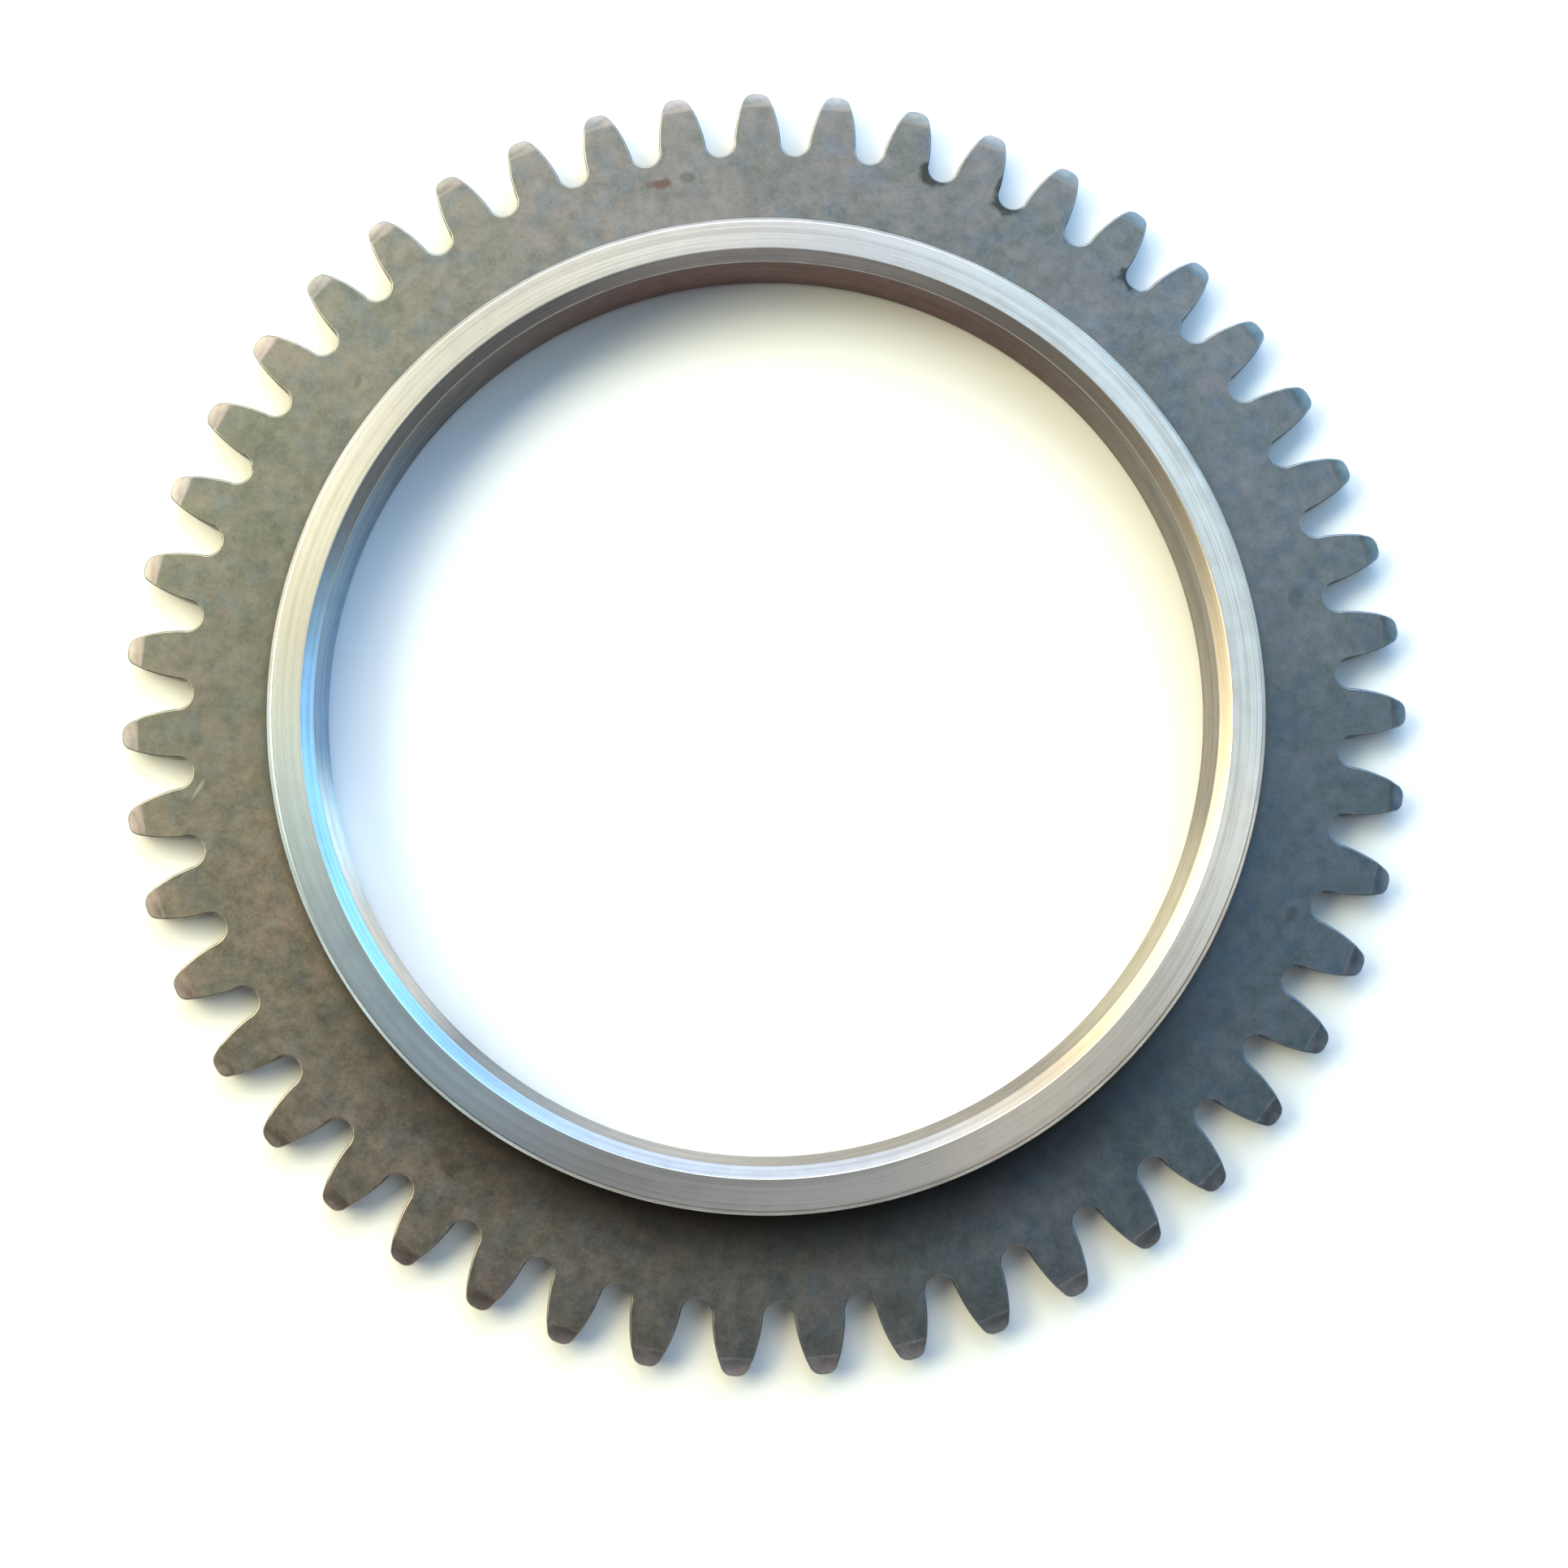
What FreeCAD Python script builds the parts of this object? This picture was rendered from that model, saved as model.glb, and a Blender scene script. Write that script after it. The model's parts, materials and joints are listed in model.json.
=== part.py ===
import FreeCAD, Part
import cmath
import math
import os

# Transmission gear: a flat toothed ring with a raised collar on one side, turned and cut from one
# piece of steel. Lengths are in millimetres and angles in degrees, unless a line says otherwise.
# The origin is on the axis of the bore, in the back face. +Z points to the collar, and the middle
# of one tooth lies on +X.

# Teeth: heights and thickness are in modules, as a gear cutter gives them
module = 3.0
tooth_count = 47
pressure_angle = 14.5
addendum_factor = 1.33
dedendum_factor = 1.37
thickness_factor = 1.67
tip_rounding_factor = 0.45

# Toothed ring, with a bevel over the tips on both faces
ring_width = 4.0
tip_bevel_depth = 2.2
tip_bevel_drop = 0.9

# Collar
collar_wall = 5.15
collar_height = 7.25
collar_edge_bevel = 0.5
collar_foot_bevel = 0.6

# Bore
bore_diameter = 102.2
mouth_bevel = 1.25
back_bevel = 1.2

# How far a gap's cutter stands out past the metal
cutter_overrun = 0.5

# Where the middle point of a flank's arc lies on the involute, as a share of the unwound string:
# here the arc keeps within 0.03 mm of the involute
flank_middle = 0.65

pitch_radius = module * tooth_count / 2
tip_radius = pitch_radius + addendum_factor * module
root_radius = pitch_radius - dedendum_factor * module
tip_rounding = tip_rounding_factor * module
bore_radius = bore_diameter / 2
collar_radius = bore_radius + collar_wall
total_height = ring_width + collar_height

# Angles of the tooth in radians: half a tooth at the base circle, and half of tooth and gap
pressure = math.radians(pressure_angle)
half_pitch = math.pi / tooth_count
base_radius = pitch_radius * math.cos(pressure)
base_half_tooth = thickness_factor / tooth_count + math.tan(pressure) - pressure

# Points of a tooth are complex numbers, x + yj, seen along -Z


def involute_point(string):
    """Point of the flank where this much string is unwound from the base circle."""
    return complex(base_radius, string) * cmath.rect(1, base_half_tooth - string / base_radius)


def across_gap(point):
    """The same point on the other side of the gap beside the tooth on +X."""
    return point.conjugate() * cmath.rect(1, 2 * half_pitch)


def gap_outline():
    """Closed wire of that gap, just below the back face."""

    # The tip's rounded corner lies inside the flank and touches it at the shoulder
    centre_string = math.sqrt((tip_radius - tip_rounding) ** 2 - base_radius ** 2)
    shoulder_string = centre_string + tip_rounding
    shoulder = involute_point(shoulder_string)
    centre = shoulder * complex(base_radius, centre_string) / complex(base_radius, shoulder_string)
    crown = centre * tip_radius / abs(centre)
    outside = centre * (tip_radius + cutter_overrun) / abs(centre)
    halfway = crown + shoulder - 2 * centre
    corner = centre + tip_rounding * halfway / abs(halfway)
    flank = involute_point(shoulder_string * flank_middle)

    # The root is one round arc from the foot of one flank to the foot of the other
    foot = involute_point(0)
    bottom = cmath.rect(root_radius, half_pitch)

    def vector(point):
        return FreeCAD.Vector(point.real, point.imag, -cutter_overrun)

    def line(first, second):
        return Part.LineSegment(vector(first), vector(second)).toShape()

    def arc(first, middle, second):
        return Part.Arc(vector(first), vector(middle), vector(second)).toShape()

    far = across_gap
    return Part.Wire([
        line(outside, crown),
        arc(crown, corner, shoulder),
        arc(shoulder, flank, foot),
        arc(foot, bottom, far(foot)),
        arc(far(foot), far(flank), far(shoulder)),
        arc(far(shoulder), far(corner), far(crown)),
        line(far(crown), far(outside)),
        line(far(outside), outside),
    ])


def gap_cutter():
    """Solid of one gap, standing out past both faces of the ring and past the tips."""
    height = ring_width + 2 * cutter_overrun
    return Part.Face(gap_outline()).extrude(FreeCAD.Vector(0, 0, height))


def blank():
    """The turned piece before its teeth are cut: its half section, spun about the axis."""
    section = [
        (bore_radius, back_bevel),
        (bore_radius + back_bevel, 0),
        (tip_radius - tip_bevel_depth, 0),
        (tip_radius, tip_bevel_drop),
        (tip_radius, ring_width - tip_bevel_drop),
        (tip_radius - tip_bevel_depth, ring_width),
        (collar_radius + collar_foot_bevel, ring_width),
        (collar_radius, ring_width + collar_foot_bevel),
        (collar_radius, total_height - collar_edge_bevel),
        (collar_radius - collar_edge_bevel, total_height),
        (bore_radius + mouth_bevel, total_height),
        (bore_radius, total_height - mouth_bevel),
    ]
    corners = [FreeCAD.Vector(radius, 0, height) for radius, height in section]
    face = Part.Face(Part.makePolygon(corners + corners[:1]))
    return face.revolve(FreeCAD.Vector(0, 0, 0), FreeCAD.Vector(0, 0, 1), 360)


def gear():
    """The whole gear: the blank less one gap between each pair of teeth."""
    cutter = gap_cutter()
    cutters = []
    for number in range(tooth_count):
        gap = cutter.copy()
        gap.rotate(FreeCAD.Vector(0, 0, 0), FreeCAD.Vector(0, 0, 1), 360 * number / tooth_count)
        cutters.append(gap)
    return blank().cut(cutters)


os.makedirs("parts", exist_ok=True)
solid = gear()
solid.exportStep("parts/gear.step")
print("gear:", solid.isValid(), len(solid.Solids), "solid,", round(solid.Volume), "cubic mm")
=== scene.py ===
"""Transmission gear: its fine shape, finishes, lights and camera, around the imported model.

Lengths are in metres and angles in radians, unless a class says otherwise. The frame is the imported
model's own: the axis of the bore is Z, the back face lies at height 0, the collar stands up from the
toothed disc, and the middle of one tooth lies on +X.
"""

import cmath
import json
import logging
import math
from collections.abc import Callable
from dataclasses import dataclass, field
from enum import Enum
from typing import Any

import bmesh
import bpy
from mathutils import Matrix, Vector

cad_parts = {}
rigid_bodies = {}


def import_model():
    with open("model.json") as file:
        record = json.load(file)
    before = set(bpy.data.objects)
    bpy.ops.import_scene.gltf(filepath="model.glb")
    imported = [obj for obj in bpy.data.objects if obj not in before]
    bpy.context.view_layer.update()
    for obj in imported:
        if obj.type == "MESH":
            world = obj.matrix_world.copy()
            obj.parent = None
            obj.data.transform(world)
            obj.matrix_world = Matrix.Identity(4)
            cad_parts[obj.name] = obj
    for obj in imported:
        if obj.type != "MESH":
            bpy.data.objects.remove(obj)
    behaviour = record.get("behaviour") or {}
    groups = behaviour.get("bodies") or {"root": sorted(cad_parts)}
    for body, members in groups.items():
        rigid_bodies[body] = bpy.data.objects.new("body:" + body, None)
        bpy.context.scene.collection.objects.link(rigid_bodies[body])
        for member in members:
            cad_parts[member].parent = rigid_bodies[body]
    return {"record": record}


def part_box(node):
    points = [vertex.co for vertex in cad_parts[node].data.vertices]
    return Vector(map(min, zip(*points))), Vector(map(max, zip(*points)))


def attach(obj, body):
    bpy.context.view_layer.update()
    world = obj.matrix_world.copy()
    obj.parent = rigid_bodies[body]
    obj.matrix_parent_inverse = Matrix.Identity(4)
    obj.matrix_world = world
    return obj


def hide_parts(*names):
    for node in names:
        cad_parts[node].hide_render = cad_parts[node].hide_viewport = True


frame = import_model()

log = logging.getLogger("gear")

Colour = tuple[float, float, float, float]

MM = 0.001
IMAGE_SIZE = 1932

# Points closer than this are one point, and a place this near to another counts as that place
WELD = 0.002 * MM
NEAR = 0.01 * MM

# Slopes of faces, as the least and the most that their normals rise
UPRIGHT = (0.0, 0.01)
SLANTED = (0.01, 0.99)

# A second noise of a finish is read this far away, so that it doesn't follow the first
ELSEWHERE = (1.0, 0.0, 0.0)


class Kind(Enum):
    """What is selected in edit mode."""

    POINTS = "VERT"
    EDGES = "EDGE"
    FACES = "FACE"


class Blend(Enum):
    """How a colour is laid over another."""

    COVER = "MIX"
    MULTIPLY = "MULTIPLY"


class Zone(Enum):
    """The surfaces of the gear that have a finish of their own, in the order of the material slots."""

    DISC = 0
    EDGE = 1
    FACE = 2
    BORE = 3
    WALL = 4
    TIP = 5
    FLANK = 6


@dataclass(frozen=True)
class Sweep:
    """A round stretch of an outline: its centre as x + yj, the angle swept and the steps taken."""

    centre: complex
    angle: float
    steps: int

    @classmethod
    def between(cls, first: complex, last: complex, centre: complex, steps: int) -> "Sweep":
        """Gives the sweep from one point to another round a centre."""
        return cls(centre, cmath.phase((last - centre) / (first - centre)), steps)


@dataclass(frozen=True)
class ToothCut:
    """The cut of the teeth. Heights and thickness are in modules, as a gear cutter gives them."""

    count: int = 47
    module: float = 3.0 * MM
    pressure: float = math.radians(14.5)
    addendum: float = 1.33
    dedendum: float = 1.37
    thickness: float = 1.67
    tip_rounding: float = 0.45
    flank_middle: float = 0.65
    crown_steps: int = 2
    corner_steps: int = 7
    flank_steps: int = 8
    root_steps: int = 8

    @property
    def pitch_radius(self) -> float:
        """Radius on which tooth and gap are counted."""
        return self.module * self.count / 2

    @property
    def tip_radius(self) -> float:
        """Radius over the tips."""
        return self.pitch_radius + self.addendum * self.module

    @property
    def root_radius(self) -> float:
        """Radius at the bottom of the gaps."""
        return self.pitch_radius - self.dedendum * self.module

    @property
    def base_radius(self) -> float:
        """Radius of the circle from which the flank unwinds."""
        return self.pitch_radius * math.cos(self.pressure)

    @property
    def half_pitch(self) -> float:
        """Angle from the middle of a tooth to the middle of the gap beside it."""
        return math.pi / self.count

    def involute_point(self, string: float) -> complex:
        """Gives the point of the flank where some string is unwound from the base circle.

        Args:
            string: Length of the unwound string.

        Returns:
            The point as x + yj, on the flank that faces +Y of the tooth on +X.
        """
        half_tooth = self.thickness / self.count + math.tan(self.pressure) - self.pressure
        turn = half_tooth - string / self.base_radius
        return complex(self.base_radius, string) * cmath.rect(1, turn)

    def sweeps(self) -> list[Sweep]:
        """Works out the half outline of the tooth on +X.

        Returns:
            The sweeps that lead from the tip's middle to the middle of the gap's root.
        """
        rounding = self.tip_rounding * self.module
        centre_string = math.sqrt((self.tip_radius - rounding) ** 2 - self.base_radius ** 2)
        shoulder_string = centre_string + rounding
        shoulder = self.involute_point(shoulder_string)
        turn = complex(self.base_radius, centre_string) / complex(self.base_radius, shoulder_string)
        centre = shoulder * turn
        crown = centre * self.tip_radius / abs(centre)
        middle = self.involute_point(shoulder_string * self.flank_middle)
        foot = self.involute_point(0)
        root = cmath.rect(self.root_radius, self.half_pitch)
        far_foot = foot.conjugate() * cmath.rect(1, 2 * self.half_pitch)
        return [
            Sweep(0j, cmath.phase(crown), self.crown_steps),
            Sweep.between(crown, shoulder, centre, self.corner_steps),
            Sweep.between(shoulder, foot, circle_centre(shoulder, middle, foot), self.flank_steps),
            Sweep.between(foot, root, circle_centre(foot, root, far_foot), self.root_steps),
        ]


def circle_centre(first: complex, second: complex, third: complex) -> complex:
    """Gives the centre of the circle through three points, each given as x + yj.

    Args:
        first: One point of the circle.
        second: Another point.
        third: A third point, not in line with the others.

    Returns:
        The centre as x + yj.
    """
    span = second - first
    ratio = (third - first) / span
    return first + span * (ratio - abs(ratio) ** 2) / (2j * ratio.imag)


@dataclass(frozen=True)
class TurnedBlank:
    """The sizes of the turned blank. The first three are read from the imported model."""

    bore_radius: float
    collar_radius: float
    height: float
    ring_width: float = 4.0 * MM
    tip_bevel_depth: float = 2.2 * MM
    tip_bevel_drop: float = 0.9 * MM
    mouth_bevel: float = 1.25 * MM
    back_bevel: float = 1.2 * MM
    collar_edge_bevel: float = 0.5 * MM
    foot_rounding: float = 0.6 * MM
    corner_rounding: float = 0.12 * MM
    corner_steps: int = 3

    @classmethod
    def from_frame(cls) -> "TurnedBlank":
        """Reads the bore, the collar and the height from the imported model.

        Returns:
            The blank of that size.
        """
        dims = {mount["name"]: mount["dims"] for mount in frame["record"]["mounts"]}
        return cls(
            bore_radius=dims["bore"]["r_mm"] * MM,
            collar_radius=dims["collar_seat"]["r_mm"] * MM,
            height=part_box("gear")[1].z,
        )

    @property
    def plate_radius(self) -> float:
        """Radius where the turned collar's mesh goes over into the toothed plate's."""
        return self.collar_radius + 2 * self.foot_rounding

    def corners(self) -> list[tuple[float, float, float]]:
        """Gives the half section round the collar and the bore.

        Returns:
            Radius, height and rounding of each corner, from the disc's upper face to its back face.
        """
        bore, collar, top, soft = self.bore_radius, self.collar_radius, self.height, self.corner_rounding
        return [
            (self.plate_radius, self.ring_width, 0),
            (collar, self.ring_width, self.foot_rounding),
            (collar, top - self.collar_edge_bevel, soft),
            (collar - self.collar_edge_bevel, top, soft),
            (bore + self.mouth_bevel, top, soft),
            (bore, top - self.mouth_bevel, soft),
            (bore, self.back_bevel, soft),
            (bore + self.back_bevel, 0, soft),
            (self.plate_radius, 0, 0),
        ]


class Bench:
    """One mesh in edit mode, shaped by the same operators as by hand."""

    def __init__(self, name: str, slots: int) -> None:
        """Puts an empty piece on the bench.

        Args:
            name: Name of the piece.
            slots: Number of material slots it gets.
        """
        bpy.ops.object.select_all(action="DESELECT")
        bpy.ops.mesh.primitive_plane_add(size=MM, enter_editmode=True)
        self.piece = bpy.context.active_object
        self.piece.name = name
        self.point = Vector()
        for _ in range(slots):
            bpy.ops.object.material_slot_add()
        bpy.ops.mesh.delete(type="VERT")

    def start(self, place: Vector) -> None:
        """Puts down one new point, selected alone, from which a line is drawn.

        Args:
            place: Where the point lies.
        """
        bpy.ops.mesh.select_all(action="DESELECT")
        bpy.ops.mesh.primitive_plane_add(size=MM)
        bpy.ops.mesh.merge(type="CENTER")
        bpy.ops.transform.translate(value=place)
        self.point = place.copy()

    def line(self, place: Vector) -> None:
        """Draws a straight edge from the last point to a place."""
        bpy.ops.mesh.extrude_region_move(TRANSFORM_OT_translate={"value": place - self.point})
        self.point = place.copy()

    def sweep(self, arc: Sweep) -> None:
        """Draws a round stretch from the last point, about an upright axis.

        Args:
            arc: The stretch.
        """
        centre = Vector((arc.centre.real, arc.centre.imag, self.point.z))
        bpy.ops.mesh.spin(steps=arc.steps, angle=-arc.angle, center=centre, axis=(0, 0, 1))
        self.point = centre + Matrix.Rotation(arc.angle, 3, "Z") @ (self.point - centre)

    def pick_points(self, rule: Callable[[Vector], bool]) -> None:
        """Selects the points that lie where a rule says.

        Args:
            rule: Says of a place whether it counts.
        """
        bpy.ops.mesh.select_mode(type=Kind.POINTS.value)
        bpy.ops.mesh.select_all(action="DESELECT")
        mesh = bmesh.from_edit_mesh(self.piece.data)
        for point in mesh.verts:
            if rule(point.co):
                point.select_set(True)
        bmesh.update_edit_mesh(self.piece.data)

    def pick_faces(self, rule: Callable[[Vector], bool]) -> None:
        """Selects the faces that lie where a rule says.

        Args:
            rule: Says of a place whether it counts. A face is taken if all its points count.
        """
        bpy.ops.mesh.select_mode(type=Kind.FACES.value)
        bpy.ops.mesh.select_all(action="DESELECT")
        mesh = bmesh.from_edit_mesh(self.piece.data)
        for face in mesh.faces:
            if all(rule(point.co) for point in face.verts):
                face.select_set(True)
        bmesh.update_edit_mesh(self.piece.data)

    def pick_slope(self, slope: tuple[float, float]) -> None:
        """Selects the faces of a slope.

        Args:
            slope: The least and the most that their normals rise, up or down.
        """
        bpy.ops.mesh.select_mode(type=Kind.FACES.value)
        bpy.ops.mesh.select_all(action="DESELECT")
        mesh = bmesh.from_edit_mesh(self.piece.data)
        mesh.normal_update()
        for face in mesh.faces:
            face.select_set(slope[0] <= abs(face.normal.z) < slope[1])
        bmesh.update_edit_mesh(self.piece.data)

    def weld(self) -> None:
        """Merges the points that lie on each other, all over the mesh."""
        bpy.ops.mesh.select_mode(type=Kind.POINTS.value)
        bpy.ops.mesh.select_all(action="SELECT")
        bpy.ops.mesh.remove_doubles(threshold=WELD)

    def assign(self, zone: Zone) -> None:
        """Gives the selected faces the material slot of a zone."""
        self.piece.active_material_index = zone.value
        bpy.ops.object.material_slot_assign()


class Signal:
    """A number that varies over a surface, used in Python expressions like any number."""

    def __init__(self, shader: "Shader", socket: bpy.types.NodeSocket) -> None:
        """Wraps a node's output."""
        self.shader = shader
        self.socket = socket

    def __add__(self, other: "Number") -> "Signal":
        """Sum."""
        return self.shader.math("ADD", self, other)

    def __sub__(self, other: "Number") -> "Signal":
        """Difference."""
        return self.shader.math("SUBTRACT", self, other)

    def __rsub__(self, other: "Number") -> "Signal":
        """Difference, taken from a plain number."""
        return self.shader.math("SUBTRACT", other, self)

    def __mul__(self, other: "Number") -> "Signal":
        """Product."""
        return self.shader.math("MULTIPLY", self, other)

    def __truediv__(self, other: "Number") -> "Signal":
        """Quotient."""
        return self.shader.math("DIVIDE", self, other)

    def swing(self, size: float) -> "Signal":
        """Turns noise about a half into noise about zero, as wide as a size."""
        return (self - 0.5) * size

    __radd__ = __add__
    __rmul__ = __mul__


Number = Signal | float


class Shader:
    """The node tree of one material."""

    # How far a turned line moves outwards over its rise up a wall
    slant = 0.7

    def __init__(self, name: str) -> None:
        """Makes a material with one principled shader.

        Args:
            name: Name of the material.
        """
        self.material = bpy.data.materials.new(name)
        self.material.use_nodes = True
        self.tree = self.material.node_tree
        self.tree.nodes.clear()
        self.surface = self.node("ShaderNodeBsdfPrincipled")
        self.node("ShaderNodeOutputMaterial", inputs={"Surface": self.surface.outputs[0]})
        self.place = self.node("ShaderNodeTexCoord").outputs["Object"]

    def node(
        self,
        kind: str,
        settings: dict[str, Any] | None = None,
        inputs: dict[str | int, Any] | None = None,
    ) -> bpy.types.Node:
        """Adds a node.

        Args:
            kind: Type of the node.
            settings: Its own settings by name, set before its sockets.
            inputs: Values or links of its sockets, by name or number.

        Returns:
            The new node.
        """
        made = self.tree.nodes.new(kind)
        for name, value in (settings or {}).items():
            setattr(made, name, value)
        for key, value in (inputs or {}).items():
            if isinstance(key, str):
                socket = next(found for found in made.inputs if found.name == key and found.enabled)
            else:
                socket = made.inputs[key]
            if isinstance(value, Signal):
                value = value.socket
            if isinstance(value, bpy.types.NodeSocket):
                self.tree.links.new(value, socket)
            else:
                socket.default_value = value
        return made

    def math(self, operation: str, *values: Number, clamp: bool = False) -> Signal:
        """Adds a Math node.

        Args:
            operation: What it works out.
            *values: The numbers that go in.
            clamp: Whether the result is kept between 0 and 1.

        Returns:
            The result.
        """
        settings = {"operation": operation, "use_clamp": clamp}
        made = self.node("ShaderNodeMath", settings, dict(enumerate(values)))
        return Signal(self, made.outputs[0])

    def vector(self, operation: str, *values: Any) -> bpy.types.Node:
        """Adds a Vector Math node."""
        return self.node("ShaderNodeVectorMath", {"operation": operation}, dict(enumerate(values)))

    def noise(self, place: bpy.types.NodeSocket, size: float, detail: float = 2.0) -> Signal:
        """Gives soft noise about a half, whose patches are about as large as a size."""
        inputs = {"Vector": place, "Scale": 1 / size, "Detail": detail}
        return Signal(self, self.node("ShaderNodeTexNoise", None, inputs).outputs[0])

    def step(self, value: Number, low: float, high: float) -> Signal:
        """Goes smoothly from 0 to 1.

        Args:
            value: What it follows.
            low: Where it is 0.
            high: Where it is 1, which may be the lower one.

        Returns:
            The smooth step.
        """
        inputs = {"Value": value, "From Min": low, "From Max": high}
        made = self.node("ShaderNodeMapRange", {"interpolation_type": "SMOOTHSTEP"}, inputs)
        return Signal(self, made.outputs[0])

    def mix(
        self,
        share: Number,
        first: Any,
        second: Any,
        blend: Blend = Blend.COVER,
    ) -> bpy.types.NodeSocket:
        """Lays a colour over another.

        Args:
            share: How far the second counts, from 0 to 1.
            first: The colour below.
            second: The colour above.
            blend: How it is laid over.

        Returns:
            The mixed colour.
        """
        settings = {"data_type": "RGBA", "blend_type": blend.value}
        made = self.node("ShaderNodeMix", settings, {"Factor": share, "A": first, "B": second})
        return next(found for found in made.outputs if found.enabled)

    def tone(self, colour: Any, value: Number) -> bpy.types.NodeSocket:
        """Makes a colour lighter or darker by a factor."""
        grey = self.node("ShaderNodeCombineColor", None, {0: value, 1: value, 2: value}).outputs[0]
        return self.mix(1.0, colour, grey, Blend.MULTIPLY)

    def flat(self) -> bpy.types.NodeSocket:
        """The place as seen along the gear's axis."""
        return self.vector("MULTIPLY", self.place, (1, 1, 0)).outputs[0]

    def radius(self) -> Signal:
        """Distance from the gear's axis."""
        return Signal(self, self.vector("LENGTH", self.flat()).outputs["Value"])

    def way(self) -> bpy.types.NodeSocket:
        """Direction from the axis to the place, one unit long."""
        return self.vector("NORMALIZE", self.flat()).outputs[0]

    def towards(self, turn: float) -> Signal:
        """Cosine of the angle round the axis between the place and a direction."""
        made = self.vector("DOT_PRODUCT", self.way(), (math.cos(turn), math.sin(turn), 0))
        return Signal(self, made.outputs["Value"])

    def height(self) -> Signal:
        """Height above the gear's back face."""
        return Signal(self, self.node("ShaderNodeSeparateXYZ", None, {0: self.place}).outputs["Z"])

    def turning(self, spacing: float, runs: float, detail: float = 2.0) -> Signal:
        """Gives the lines that a lathe leaves round the axis.

        Args:
            spacing: Distance from one line to the next.
            runs: How often a line changes on its way round.
            detail: Octaves of finer lines.

        Returns:
            Noise drawn out round the axis, which has no seam.
        """
        way = self.node("ShaderNodeSeparateXYZ", None, {0: self.way()})
        inputs = {
            0: Signal(self, way.outputs[0]) * runs,
            1: Signal(self, way.outputs[1]) * runs,
            2: (self.radius() + self.height() * self.slant) / spacing,
        }
        drawn_out = self.node("ShaderNodeCombineXYZ", None, inputs).outputs[0]
        return self.noise(drawn_out, 1.0, detail)

    def finish(
        self,
        colour: Any,
        roughness: Number,
        relief: Number,
        depth: float,
        **fixed: float,
    ) -> None:
        """Connects the surface.

        Args:
            colour: Base colour.
            roughness: Roughness.
            relief: Height of the fine relief, from 0 to 1.
            depth: What that height of 1 is in metres.
            **fixed: Other values of the shader, by socket name with _ for a blank.
        """
        bump = self.node("ShaderNodeBump", None, {"Height": relief, "Distance": depth, "Strength": 1.0})
        values = {"Base Color": colour, "Roughness": roughness, "Normal": bump.outputs[0]}
        for name, value in values.items():
            socket = self.surface.inputs[name]
            self.tree.links.new(value.socket if isinstance(value, Signal) else value, socket)
        for name, value in fixed.items():
            self.surface.inputs[name.replace("_", " ")].default_value = value


@dataclass(frozen=True)
class PaintedLight:
    """Painted light and shade on part of the way round the gear: a soft tint that makes that side
    lighter, darker or coloured as light falling there would.

    Azimuth and spread to each side are in degrees. A tint that has a reach fades out over that
    distance from the collar's wall.
    """

    azimuth: float
    spread: float
    colour: Colour
    reach: float = 0.0

    def over(self, shader: Shader, colour: Any, wall: float) -> bpy.types.NodeSocket:
        """Lays the tint over a colour.

        Args:
            shader: The material's node tree.
            colour: The colour below.
            wall: Radius of the collar's wall.

        Returns:
            The tinted colour.
        """
        edge = math.cos(math.radians(self.spread))
        share = shader.step(shader.towards(math.radians(self.azimuth)), edge, 1.0)
        if self.reach:
            share = share * shader.step(shader.radius(), wall + self.reach, wall)
        return shader.mix(share, colour, self.colour, Blend.MULTIPLY)


@dataclass(frozen=True)
class Mark:
    """A stain, a scratch or a patch of painted shadow on the disc.

    Azimuth and turn are in degrees. Outward, round and depth are its half sizes, and its core is
    the share of them up to which it is full.
    """

    azimuth: float
    radius: float
    outward: float
    round: float
    colour: Colour
    strength: float = 0.8
    turn: float = 0.0
    depth: float = 1.2 * MM
    core: float = 0.5
    raggedness: float = 1.1

    def over(
        self,
        shader: Shader,
        colour: Any,
        height: float,
        noise: Signal,
    ) -> bpy.types.NodeSocket:
        """Lays the mark over a colour.

        Args:
            shader: The material's node tree.
            colour: The colour below.
            height: Height of the marked face.
            noise: What makes the mark's outline ragged.

        Returns:
            The marked colour.
        """
        angle = math.radians(self.azimuth)
        inputs = {
            "Vector": shader.place,
            "Location": (self.radius * math.cos(angle), self.radius * math.sin(angle), height),
            "Rotation": (0, 0, angle + math.radians(self.turn)),
            "Scale": (self.outward, self.round, self.depth),
        }
        place = shader.node("ShaderNodeMapping", {"vector_type": "TEXTURE"}, inputs).outputs[0]
        away = Signal(shader, shader.vector("LENGTH", place).outputs["Value"])
        share = shader.step(away + noise.swing(self.raggedness), 1.0, self.core) * self.strength
        return shader.mix(share, colour, self.colour)


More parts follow.
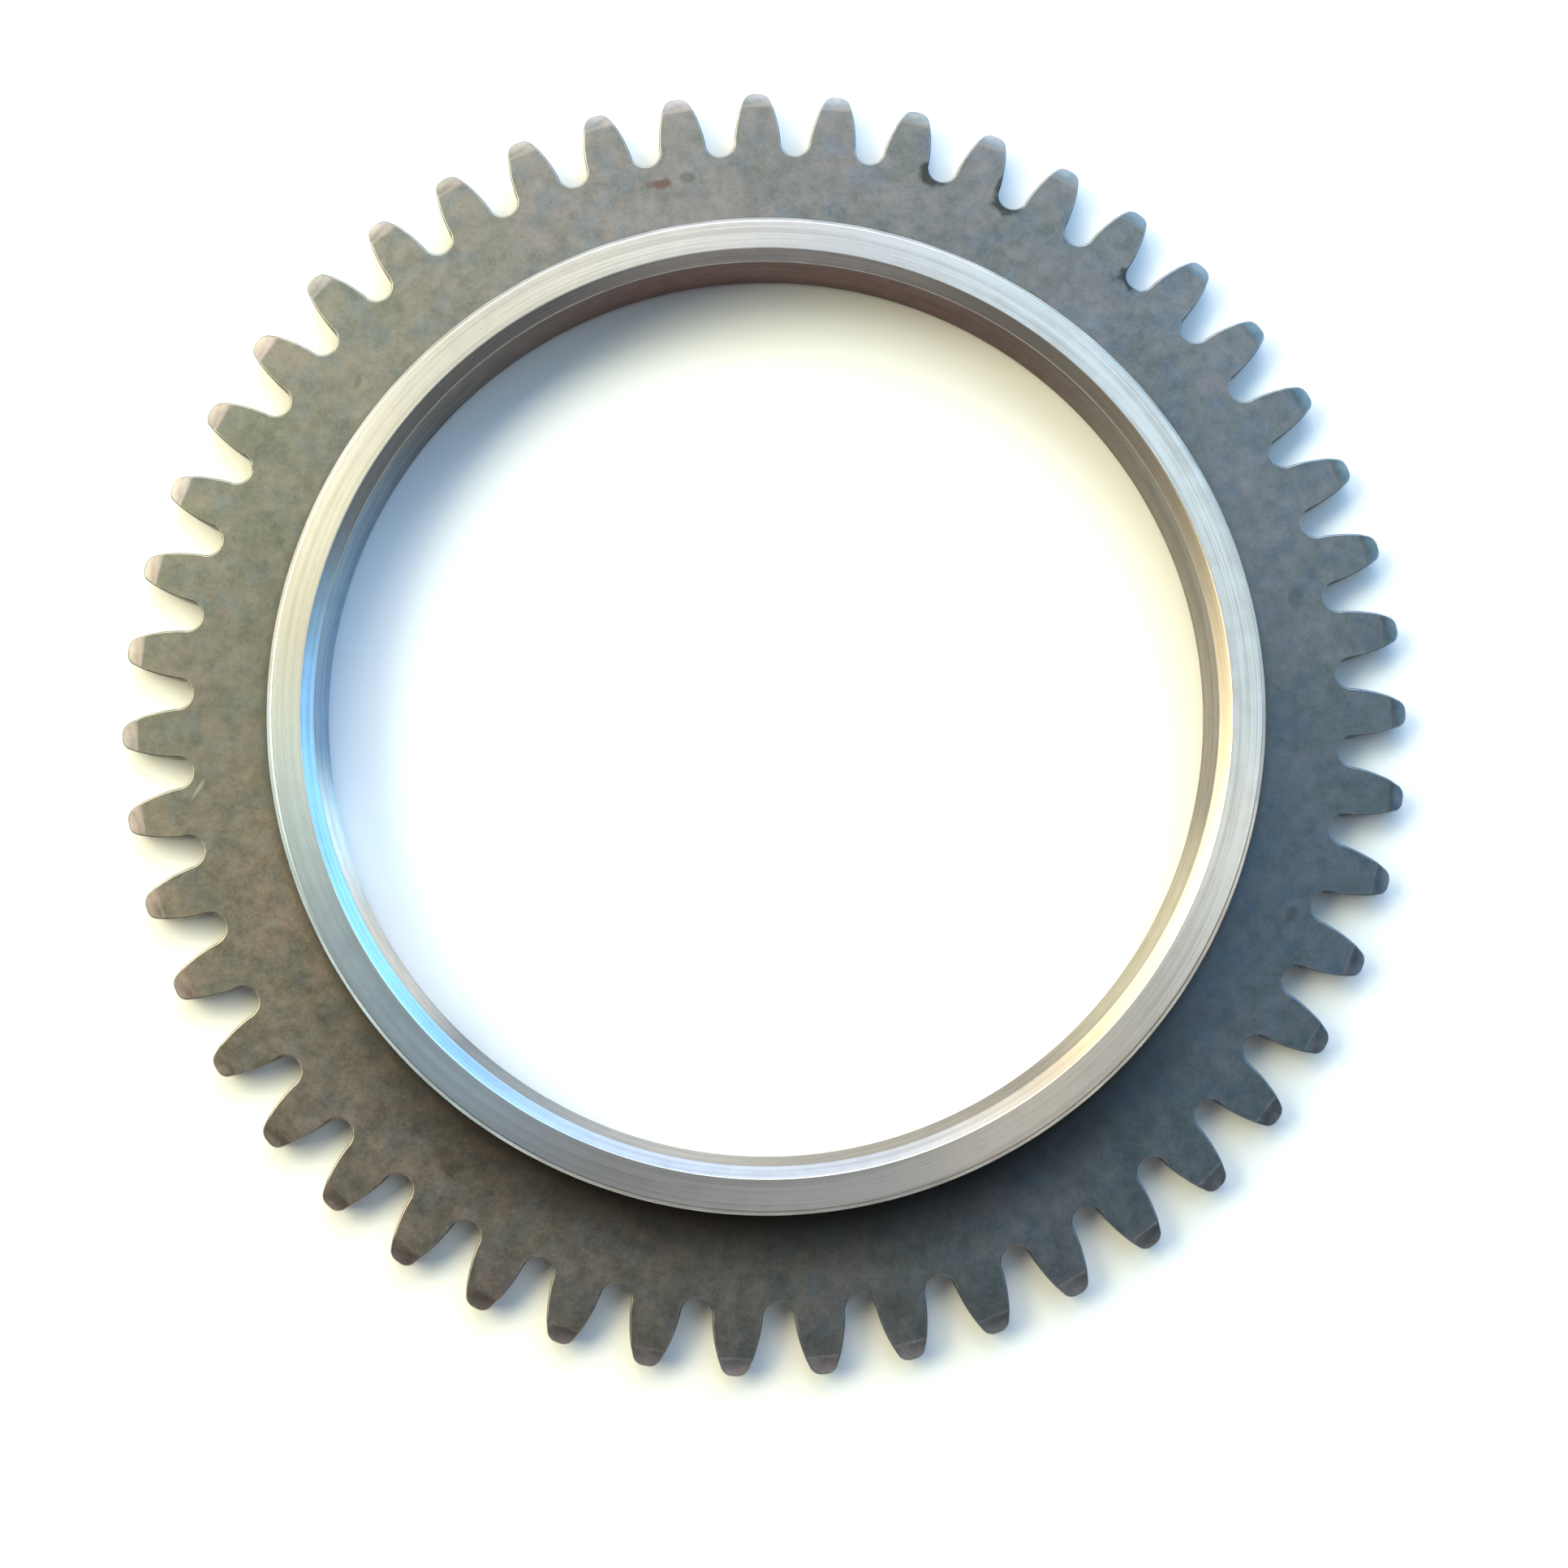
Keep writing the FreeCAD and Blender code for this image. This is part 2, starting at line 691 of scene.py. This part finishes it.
@dataclass(frozen=True)
class DiscFinish:
    """Dull, oiled steel of the toothed disc, with grain, patches, stains, grime and painted shade at the
    foot, and painted light and shade round the disc.

    Ranges are the noise at which a colour starts and is full. Shares say how much the grain, the
    mottling and the turned lines count in the relief.
    """

    name: str = "dull_steel"
    olive: Colour = (0.126, 0.129, 0.122, 1)
    rose: Colour = (0.134, 0.127, 0.124, 1)
    slate: Colour = (0.115, 0.124, 0.132, 1)
    # Dark of the band at the collar's foot, which is dirt and painted shade
    grime: Colour = (0.016, 0.014, 0.012, 1)
    rose_range: tuple[float, float] = (0.38, 0.62)
    rose_mottle: float = 0.6
    slate_range: tuple[float, float] = (0.48, 0.68)
    lightness: float = 1.0
    # How much lighter the steel gets towards the tips: wear, and on the tip bevels a painted highlight
    tip_wear_and_highlight: float = 0.0
    grain_size: float = 0.35 * MM
    mottle_size: float = 1.6 * MM
    slate_size: float = 3.2 * MM
    patch_size: float = 9.0 * MM
    line_spacing: float = 0.55 * MM
    line_runs: float = 3.0
    fine_detail: float = 3.0
    grain: float = 0.45
    mottle: float = 0.75
    patch: float = 0.45
    roughness: float = 0.47
    sheen_change: float = 0.14
    metallic: float = 1.0
    relief: float = 0.02 * MM
    relief_shares: tuple[float, float, float] = (0.5, 0.3, 0.2)
    foot_dirt_and_shade_start: float = 0.3 * MM
    foot_dirt_and_shade_end: float = 2.6 * MM
    grime_cover: float = 0.7
    foot_dirt_and_shade_mottle: float = 1.6
    painted_lights: tuple[PaintedLight, ...] = (
        # Painted light and reflection: the disc lighter at the right and lower left, bluer at the lower
        # right
        PaintedLight(26, 40, (1.16, 1.14, 1.16, 1)),
        PaintedLight(105, 50, (1.04, 1.02, 1.04, 1)),
        PaintedLight(168, 60, (1.0, 1.0, 0.93, 1)),
        PaintedLight(226, 52, (1.30, 1.18, 1.12, 1)),
        PaintedLight(320, 50, (0.84, 0.98, 1.12, 1)),
        # Painted shadow of the collar on the disc below it, fading out 10 mm from the wall
        PaintedLight(272, 66, (0.16, 0.14, 0.13, 1), 10.0 * MM),
    )
    marks: tuple[Mark, ...] = (
        # Rust and an oily stain at the top
        Mark(102.4, 63.9 * MM, 0.9 * MM, 1.6 * MM, (0.085, 0.045, 0.036, 1), 0.75),
        Mark(99.6, 64.2 * MM, 0.8 * MM, 1.1 * MM, (0.075, 0.080, 0.058, 1), 0.6),
        # Painted shadow of the gaps, as dark patches round four of the roots and up one tooth
        Mark(156.5, 66.6 * MM, 0.5 * MM, 0.7 * MM, (0.025, 0.022, 0.020, 1)),
        Mark(73.4, 67.0 * MM, 1.9 * MM, 2.1 * MM, (0.026, 0.026, 0.024, 1), 0.85),
        Mark(65.4, 66.8 * MM, 1.9 * MM, 2.4 * MM, (0.024, 0.026, 0.024, 1), 0.85),
        Mark(66.6, 68.4 * MM, 2.0 * MM, 0.9 * MM, (0.024, 0.026, 0.024, 1)),
        Mark(50.4, 67.0 * MM, 1.9 * MM, 2.1 * MM, (0.026, 0.030, 0.030, 1), 0.9),
        # A pale scratch at the left
        Mark(189.5, 65.9 * MM, 0.3 * MM, 1.5 * MM, (0.30, 0.285, 0.24, 1), 0.55, -40.0),
        # Faint stains
        Mark(143.0, 61.5 * MM, 0.6 * MM, 1.4 * MM, (0.085, 0.080, 0.060, 1), 0.5, 25.0),
        Mark(236.0, 62.4 * MM, 1.4 * MM, 2.4 * MM, (0.060, 0.050, 0.040, 1), 0.45, -15.0),
        Mark(12.0, 63.0 * MM, 1.2 * MM, 2.0 * MM, (0.075, 0.084, 0.090, 1), 0.5, 10.0),
        Mark(339.0, 64.6 * MM, 0.9 * MM, 1.5 * MM, (0.052, 0.058, 0.062, 1), 0.5, -20.0),
    )

    def material(self, gear: "Gear") -> bpy.types.Material:
        """Makes the material of the disc.

        Args:
            gear: The gear that wears it.

        Returns:
            The material.
        """
        shader = Shader(self.name)
        wall = gear.blank.collar_radius
        grain = shader.noise(shader.place, self.grain_size, self.fine_detail)
        mottle = shader.noise(shader.place, self.mottle_size, self.fine_detail)
        patches = shader.noise(shader.place, self.patch_size)
        elsewhere = shader.vector("ADD", shader.place, ELSEWHERE).outputs[0]
        cool = shader.noise(elsewhere, self.slate_size)
        lines = shader.turning(self.line_spacing, self.line_runs)

        # Colour of the bare steel
        rosy = shader.step(patches + mottle.swing(self.rose_mottle), *self.rose_range)
        hue = shader.mix(rosy, self.olive, self.rose)
        hue = shader.mix(shader.step(cool, *self.slate_range), hue, self.slate)
        light = 1 + grain.swing(self.grain) + mottle.swing(self.mottle) + patches.swing(self.patch)
        # Lighter towards the tips of the teeth: wear, and on the tip bevels a painted highlight
        worn = shader.step(shader.radius(), gear.crease_radius, gear.cut.tip_radius)
        light = light * (1 + worn * self.tip_wear_and_highlight)
        colour = shader.tone(hue, light * self.lightness)

        # What lies over it
        # Painted light, shade and reflection, by the way round the gear
        for tint in self.painted_lights:
            colour = tint.over(shader, colour, wall)
        for mark in self.marks:
            colour = mark.over(shader, colour, gear.blank.ring_width, mottle)
        # Dark band along the collar's foot: dirt, and painted shade in the corner where the disc meets
        # the collar
        foot_dirt_and_shade = shader.step(shader.radius(), wall + self.foot_dirt_and_shade_end, wall + self.foot_dirt_and_shade_start)
        cover = self.grime_cover + mottle.swing(self.foot_dirt_and_shade_mottle)
        dirty = shader.math("MULTIPLY", foot_dirt_and_shade, cover, clamp=True)
        colour = shader.mix(dirty, colour, self.grime)

        roughness = self.roughness + grain.swing(self.sheen_change) + mottle.swing(self.sheen_change)
        grain_share, mottle_share, line_share = self.relief_shares
        relief = grain * grain_share + mottle * mottle_share + lines * line_share
        shader.finish(colour, roughness, relief, self.relief, Metallic=self.metallic)
        return shader.material


@dataclass(frozen=True)
class TurnedFinish:
    """Bright steel as the lathe leaves it, with fine lines and wider bands round the axis.

    The range is the noise at which the dull colour starts and is full. Shares say how much the
    lines, the bands and the spots count in it, and the lines and the bands in the relief.
    """

    name: str
    bright: Colour
    dull: Colour
    dull_range: tuple[float, float] = (0.40, 0.62)
    dull_shares: tuple[float, float, float] = (0.5, 0.3, 0.2)
    spacing: float = 0.16 * MM
    band_spacing: float = 0.9 * MM
    spot_size: float = 2.4 * MM
    line_runs: float = 2.5
    band_runs: float = 1.2
    fine_detail: float = 3.0
    band_detail: float = 1.0
    roughness: float = 0.30
    line_sheen: float = 0.14
    spot_sheen: float = 0.08
    line_depth: float = 0.004 * MM
    relief_shares: tuple[float, float] = (0.7, 0.3)
    anisotropic: float = 0.55
    anisotropic_turn: float = 0.25
    metallic: float = 1.0
    painted_lights: tuple[PaintedLight, ...] = ()

    def material(self, gear: "Gear") -> bpy.types.Material:
        """Makes the material of one turned surface.

        Args:
            gear: The gear that wears it.

        Returns:
            The material.
        """
        shader = Shader(self.name)
        lines = shader.turning(self.spacing, self.line_runs, self.fine_detail)
        bands = shader.turning(self.band_spacing, self.band_runs, self.band_detail)
        spots = shader.noise(shader.place, self.spot_size, self.fine_detail)
        line_share, band_share, spot_share = self.dull_shares
        wear = lines * line_share + bands * band_share + spots * spot_share
        colour = shader.mix(shader.step(wear, *self.dull_range), self.bright, self.dull)
        # Painted light, shade and reflection, by the way round the gear
        for tint in self.painted_lights:
            colour = tint.over(shader, colour, gear.blank.collar_radius)
        line_share, band_share = self.relief_shares
        shader.finish(
            colour,
            self.roughness + lines.swing(self.line_sheen) + spots.swing(self.spot_sheen),
            lines * line_share + bands * band_share,
            self.line_depth,
            Metallic=self.metallic,
            Anisotropic=self.anisotropic,
            Anisotropic_Rotation=self.anisotropic_turn,
        )
        return shader.material


@dataclass(frozen=True)
class FlankFinish:
    """Cut steel of the tooth sides, bright where the teeth run and with grime at the roots.

    The lines run across the teeth. Covers are the shares that the worn steel and the grime reach,
    and the shares say how much the lines and the mottling count in the relief.
    """

    name: str = "tooth_sides"
    worn: Colour = (0.34, 0.335, 0.32, 1)
    dull: Colour = (0.14, 0.14, 0.135, 1)
    grime: Colour = (0.035, 0.032, 0.028, 1)
    line_size: float = 0.16 * MM
    line_stretch: float = 0.06
    mottle_size: float = 1.2 * MM
    fine_detail: float = 3.0
    unevenness: float = 2.0 * MM
    worn_start: float = 1.0 * MM
    worn_cover: float = 0.6
    worn_lines: float = 0.6
    grime_height: float = 2.6 * MM
    grime_cover: float = 0.8
    grime_sheen: float = 0.15
    roughness: float = 0.42
    sheen_change: float = 0.16
    metallic: float = 1.0
    relief: float = 0.008 * MM
    relief_shares: tuple[float, float] = (0.8, 0.2)

    def material(self, gear: "Gear") -> bpy.types.Material:
        """Makes the material of the tooth sides.

        Args:
            gear: The gear that wears it.

        Returns:
            The material.
        """
        shader = Shader(self.name)
        root = gear.cut.root_radius
        drawn_out = shader.vector("MULTIPLY", shader.place, (1, 1, self.line_stretch)).outputs[0]
        lines = shader.noise(drawn_out, self.line_size)
        mottle = shader.noise(shader.place, self.mottle_size, self.fine_detail)
        radius = shader.radius() + mottle.swing(self.unevenness)
        run_in = shader.step(radius, root + self.worn_start, gear.cut.pitch_radius)
        worn = run_in * (self.worn_cover + lines * self.worn_lines)
        colour = shader.mix(worn, self.dull, self.worn)
        dirty = shader.step(radius, root + self.grime_height, root)
        colour = shader.mix(dirty * self.grime_cover, colour, self.grime)
        roughness = self.roughness + lines.swing(self.sheen_change) + dirty * self.grime_sheen
        line_share, mottle_share = self.relief_shares
        relief = lines * line_share + mottle * mottle_share
        shader.finish(colour, roughness, relief, self.relief, Metallic=self.metallic)
        return shader.material


Finish = DiscFinish | TurnedFinish | FlankFinish

FINISHES: dict[Zone, Finish] = {
    Zone.DISC: DiscFinish(),
    Zone.EDGE: DiscFinish("worn_edge", lightness=1.8, tip_wear_and_highlight=0.3, roughness=0.42, patch=0.2),
    Zone.FACE: TurnedFinish(
        name="turned_face",
        bright=(0.58, 0.56, 0.54, 1),
        dull=(0.42, 0.405, 0.385, 1),
        roughness=0.34,
        line_depth=0.007 * MM,
        anisotropic=0.45,
        # Painted reflections: the face lighter at the right and lower right, bluer at the lower left,
        # darker at the top and bottom
        painted_lights=(
            PaintedLight(20, 62, (1.18, 1.04, 0.94, 1)),
            PaintedLight(112, 50, (0.82, 0.82, 0.86, 1)),
            PaintedLight(212, 42, (1.20, 1.45, 1.72, 1)),
            PaintedLight(268, 34, (0.84, 0.84, 0.86, 1)),
            PaintedLight(322, 40, (1.38, 1.24, 1.12, 1)),
        ),
    ),
    Zone.BORE: TurnedFinish(
        name="bored_wall",
        bright=(0.21, 0.192, 0.184, 1),
        dull=(0.155, 0.142, 0.138, 1),
        spacing=0.25 * MM,
        band_spacing=1.1 * MM,
        roughness=0.52,
        anisotropic=0.85,
        # Painted reflections and shade: blue at the left, a painted glint at the lower left, lighter at
        # the bottom, gold at the lower right, reddish-brown painted shade at the top
        painted_lights=(
            PaintedLight(85, 55, (0.82, 0.58, 0.56, 1)),
            PaintedLight(20, 35, (1.2, 1.2, 1.15, 1)),
            PaintedLight(175, 36, (1.35, 1.95, 2.55, 1)),
            PaintedLight(208, 22, (3.6, 3.1, 2.5, 1)),
            PaintedLight(246, 30, (1.5, 1.5, 1.45, 1)),
            PaintedLight(278, 40, (1.28, 1.22, 1.12, 1)),
            PaintedLight(327, 22, (1.7, 1.7, 1.5, 1)),
        ),
    ),
    Zone.WALL: TurnedFinish(
        name="collar_wall",
        bright=(0.36, 0.36, 0.34, 1),
        dull=(0.27, 0.27, 0.255, 1),
        spacing=0.25 * MM,
        band_spacing=1.1 * MM,
        roughness=0.40,
    ),
    Zone.TIP: DiscFinish(
        name="tip_bevels",
        olive=(0.134, 0.126, 0.119, 1),
        rose=(0.142, 0.127, 0.123, 1),
        slate=(0.124, 0.124, 0.125, 1),
        # Tip bevels lighter towards the tip: wear and a painted highlight
        tip_wear_and_highlight=1.25,
        roughness=0.46,
        # Painted light: the tip bevels lighter and bluer at the lower left and lower right, where the
        # lamps are few, and tinted at the upper right and left
        painted_lights=(
            PaintedLight(45, 62, (1.05, 1.0, 0.84, 1)),
            PaintedLight(165, 50, (1.0, 0.97, 1.12, 1)),
            PaintedLight(240, 55, (1.35, 1.25, 1.25, 1)),
            PaintedLight(300, 60, (1.45, 1.55, 1.70, 1)),
        ),
    ),
    Zone.FLANK: FlankFinish(),
}


@dataclass
class Gear:
    """The gear as one piece: the toothed disc, cut tooth by tooth, and the turned collar."""

    cut: ToothCut
    blank: TurnedBlank
    name: str = "finished_gear"
    edge_break: float = 0.22 * MM
    edge_steps: int = 3
    steps_per_pitch: int = 8
    sharp: float = math.radians(30)
    bench: Bench = field(init=False)

    def __post_init__(self) -> None:
        """Puts the empty piece on the bench."""
        self.bench = Bench(self.name, len(Zone))

    @property
    def crease_radius(self) -> float:
        """Radius where the flat of the disc goes over into the bevel of the tips."""
        return self.cut.tip_radius - self.blank.tip_bevel_depth

    def draw_tooth(self) -> None:
        """Draws the outline of one pitch, from the middle of a gap to the next, and fills it."""
        bench, turn = self.bench, self.cut.half_pitch
        bench.start(Vector((self.cut.tip_radius, 0, 0)))
        for arc in self.cut.sweeps():
            bench.sweep(arc)
        inner = cmath.rect(self.blank.plate_radius, turn)
        bench.line(Vector((inner.real, inner.imag, 0)))
        bench.sweep(Sweep(0j, -turn, self.steps_per_pitch // 2))
        bpy.ops.mesh.select_all(action="SELECT")
        bpy.ops.mesh.duplicate()
        bpy.ops.transform.resize(value=(1, -1, 1), center_override=(0, 0, 0))
        bench.weld()
        bpy.ops.mesh.edge_face_add()

    def raise_tooth(self) -> None:
        """Gives the outline the disc's width, and cuts the tip's bevel on both faces."""
        width, depth, drop = self.blank.ring_width, self.blank.tip_bevel_depth, self.blank.tip_bevel_drop
        bpy.ops.mesh.extrude_region_move(TRANSFORM_OT_translate={"value": (0, 0, width)})
        bpy.ops.mesh.select_all(action="SELECT")
        bpy.ops.mesh.normals_make_consistent(inside=False)
        for height, up in ((width, 1), (0, -1)):
            bpy.ops.mesh.select_all(action="SELECT")
            bpy.ops.mesh.bisect(
                plane_co=(self.crease_radius, 0, height),
                plane_no=Vector((drop, 0, up * depth)).normalized(),
                use_fill=True,
                clear_outer=True,
                threshold=NEAR,
            )

    def open_sides(self) -> None:
        """Takes away the faces between the pitch and its neighbours, and marks the others by slope."""
        turn = self.cut.half_pitch

        def on_side(place: Vector) -> bool:
            """Whether a place lies between this pitch and the next."""
            return abs(abs(math.atan2(place.y, place.x)) - turn) * place.xy.length < NEAR

        def on_collar(place: Vector) -> bool:
            """Whether a place lies where the collar's mesh begins."""
            return abs(place.xy.length - self.blank.plate_radius) < NEAR

        for rule in (on_side, on_collar):
            self.bench.pick_faces(rule)
            bpy.ops.mesh.delete(type="FACE")
        for slope, zone in ((SLANTED, Zone.TIP), (UPRIGHT, Zone.FLANK)):
            self.bench.pick_slope(slope)
            self.bench.assign(zone)

    def break_edges(self) -> None:
        """Breaks the edges all along the tooth."""
        bpy.ops.mesh.select_mode(type=Kind.EDGES.value)
        bpy.ops.mesh.select_all(action="DESELECT")
        bpy.ops.mesh.edges_select_sharp(sharpness=self.sharp)
        bpy.ops.mesh.bevel(
            offset=self.edge_break,
            segments=self.edge_steps,
            clamp_overlap=False,
            material=Zone.EDGE.value,
        )

    def repeat_tooth(self) -> None:
        """Sets the pitch round the disc, once for each tooth."""
        bpy.ops.mesh.select_mode(type=Kind.POINTS.value)
        bpy.ops.mesh.select_all(action="SELECT")
        copies = self.cut.count - 1
        turn = 2 * self.cut.half_pitch * copies
        bpy.ops.mesh.spin(dupli=True, steps=copies, angle=turn, center=(0, 0, 0), axis=(0, 0, 1))
        self.bench.weld()

    def turn_collar(self) -> None:
        """Draws the half section of the collar and the bore, rounds its corners and spins it."""
        corners = self.blank.corners()
        self.bench.start(Vector((corners[0][0], 0, corners[0][1])))
        for radius, height, _ in corners[1:]:
            self.bench.line(Vector((radius, 0, height)))
        for radius, height, rounding in corners[1:-1]:
            corner = Vector((radius, 0, height))
            self.bench.pick_points(lambda place: (place - corner).length < NEAR)
            bpy.ops.mesh.bevel(
                affect="VERTICES",
                offset=rounding,
                segments=self.blank.corner_steps,
                clamp_overlap=False,
            )
        bore = self.blank.bore_radius
        self.bench.pick_points(lambda place: abs(place.x - bore) < NEAR and abs(place.y) < NEAR)
        bpy.ops.mesh.select_linked()
        steps = self.steps_per_pitch * self.cut.count
        bpy.ops.mesh.spin(steps=steps, angle=math.tau, center=(0, 0, 0), axis=(0, 0, 1))
        self.bench.weld()
        bpy.ops.mesh.normals_make_consistent(inside=False)

    def mark_zones(self) -> None:
        """Gives each turned surface its own material slot."""
        blank = self.blank
        foot = blank.collar_radius + blank.foot_rounding / 2
        face_edge = blank.height - blank.mouth_bevel - NEAR

        def on_wall(place: Vector) -> bool:
            """Whether a place lies on the collar."""
            return place.xy.length < foot and place.z > blank.ring_width

        def on_face(place: Vector) -> bool:
            """Whether a place lies on the collar's end or on the bevels beside it."""
            return on_wall(place) and place.z > face_edge

        def on_bore(place: Vector) -> bool:
            """Whether a place lies in the bore, below the mouth's bevel."""
            within = blank.bore_radius + blank.back_bevel + NEAR
            return place.xy.length < within and place.z < face_edge + 2 * NEAR

        for zone, rule in ((Zone.WALL, on_wall), (Zone.FACE, on_face), (Zone.BORE, on_bore)):
            self.bench.pick_faces(rule)
            self.bench.assign(zone)

    def build(self) -> None:
        """Makes the whole mesh, shaded smooth with its flat faces kept flat."""
        self.draw_tooth()
        self.raise_tooth()
        self.open_sides()
        self.break_edges()
        self.repeat_tooth()
        self.turn_collar()
        self.mark_zones()
        bpy.ops.object.mode_set(mode="OBJECT")
        bpy.ops.object.shade_smooth()
        bpy.ops.object.modifier_add(type="WEIGHTED_NORMAL")
        bpy.ops.object.modifier_apply(modifier=self.bench.piece.modifiers[-1].name)

    def dress(self) -> None:
        """Gives each zone its finish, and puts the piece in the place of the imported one."""
        piece = self.bench.piece
        points, faces = len(piece.data.vertices), len(piece.data.polygons)
        for slot, zone in zip(piece.material_slots, Zone):
            slot.material = FINISHES[zone].material(self)
        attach(piece, "root")
        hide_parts("gear")
        log.info("%s with %d points and %d faces", self.name, points, faces)


@dataclass(frozen=True)
class Softbox:
    """A soft lamp round the gear: where it stands, in degrees, and what light it gives."""

    name: str
    azimuth: float
    elevation: float
    distance: float
    width: float
    rise: float
    power: float
    colour: tuple[float, float, float]

    def place(self) -> None:
        """Sets the lamp up, turned towards the gear."""
        turn, rise = math.radians(self.azimuth), math.radians(self.elevation)
        level = math.cos(rise)
        way = Vector((level * math.cos(turn), level * math.sin(turn), math.sin(rise)))
        bpy.ops.object.light_add(type="AREA", location=way * self.distance)
        lamp = bpy.context.active_object
        lamp.name = self.name
        lamp.rotation_euler = way.to_track_quat("Z", "Y").to_euler()
        lamp.data.shape = "ELLIPSE"
        lamp.data.size = self.width
        lamp.data.size_y = self.rise
        lamp.data.energy = self.power
        lamp.data.color = self.colour


@dataclass(frozen=True)
class Viewpoint:
    """The camera over the gear, as the photograph was taken. Angles are in degrees."""

    aim: tuple[float, float, float] = (1.69 * MM, 19.76 * MM, 0.0)
    distance: float = 256.5 * MM
    tilt: float = 9.59
    heading: float = -4.87
    roll: float = 5.76
    field: float = 40.0
    rise_in_pixels: float = 300.0
    nearest: float = 10 * MM

    def place(self) -> None:
        """Sets the camera up and makes it the scene's own."""
        turned = Matrix.Rotation(math.radians(self.heading), 3, "Z")
        tilted = turned @ Matrix.Rotation(math.radians(self.tilt), 3, "X")
        stand = tilted @ Matrix.Rotation(math.radians(self.roll), 3, "Z")
        back = stand @ Vector((0, 0, 1))
        bpy.ops.object.camera_add(location=Vector(self.aim) + back * self.distance)
        camera = bpy.context.active_object
        camera.rotation_euler = stand.to_euler()
        camera.data.angle = math.radians(self.field)
        camera.data.shift_y = -self.rise_in_pixels / IMAGE_SIZE
        camera.data.clip_start = self.nearest
        bpy.context.scene.camera = camera


@dataclass(frozen=True)
class Studio:
    """Pale floor, soft lamps and camera."""

    floor_size: float = 6.0
    floor_gap: float = 0.05 * MM
    floor_colour: Colour = (0.86, 0.86, 0.86, 1)
    fibre_colour: Colour = (0.84, 0.84, 0.84, 1)
    fibre_size: float = 0.4 * MM
    fibre_depth: float = 0.01 * MM
    floor_roughness: float = 0.9
    fibre_sheen: float = 0.05
    sky: Colour = (0.80, 0.88, 1.0, 1)
    sky_strength: float = 0.05
    lamps: tuple[Softbox, ...] = (
        Softbox("dome", 125, 46, 0.8, 0.7, 0.6, 4.0, (1.0, 1.0, 0.78)),
        Softbox("key", 90, 44, 0.8, 0.5, 0.5, 2.4, (1.0, 1.0, 0.98)),
        Softbox("cool", 60, 32, 0.8, 0.8, 0.4, 3.1, (0.13, 0.48, 1.0)),
        Softbox("left", 165, 42, 0.8, 0.6, 0.5, 6.1, (1.0, 0.94, 0.61)),
        Softbox("right", 30, 62, 0.8, 0.6, 0.5, 1.7, (0.54, 0.80, 1.0)),
        Softbox("low_top", 90, 13, 0.9, 1.0, 0.26, 2.2, (0.65, 0.78, 1.0)),
        Softbox("low_blue", 20, 14, 0.9, 1.0, 0.28, 2.2, (0.19, 0.56, 1.0)),
        Softbox("low_gold", 148, 12, 0.9, 0.6, 0.26, 1.7, (1.0, 0.83, 0.44)),
        Softbox("high_front", 288, 66, 0.8, 0.5, 0.5, 0.45, (1.0, 0.98, 0.95)),
        Softbox("low_front", 272, 26, 0.8, 0.7, 0.35, 0.3, (1.0, 0.90, 0.84)),
    )

    def lay_floor(self) -> None:
        """Lays the floor of pale paper just below the gear."""
        bpy.ops.object.select_all(action="DESELECT")
        bpy.ops.mesh.primitive_plane_add(size=self.floor_size, location=(0, 0, -self.floor_gap))
        floor = bpy.context.active_object
        floor.name = "floor"
        shader = Shader("floor_paper")
        fibres = shader.noise(shader.place, self.fibre_size)
        colour = shader.mix(fibres, self.floor_colour, self.fibre_colour)
        roughness = self.floor_roughness + fibres.swing(self.fibre_sheen)
        shader.finish(colour, roughness, fibres, self.fibre_depth)
        floor.data.materials.append(shader.material)

    def set_up(self) -> None:
        """Puts everything in place round the gear."""
        self.lay_floor()
        for lamp in self.lamps:
            lamp.place()
        Viewpoint().place()
        scene = bpy.context.scene
        scene.view_settings.view_transform = "Standard"
        scene.world = bpy.data.worlds.new("room")
        scene.world.use_nodes = True
        light = scene.world.node_tree.nodes["Background"]
        light.inputs["Color"].default_value = self.sky
        light.inputs["Strength"].default_value = self.sky_strength
        log.info("studio with %d lamps", len(self.lamps))


def main() -> None:
    """Builds the gear and the studio around it."""
    logging.basicConfig(level=logging.INFO, format="%(name)s: %(message)s")
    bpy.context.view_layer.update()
    gear = Gear(ToothCut(), TurnedBlank.from_frame())
    gear.build()
    gear.dress()
    Studio().set_up()


if __name__ == "__main__":
    main()
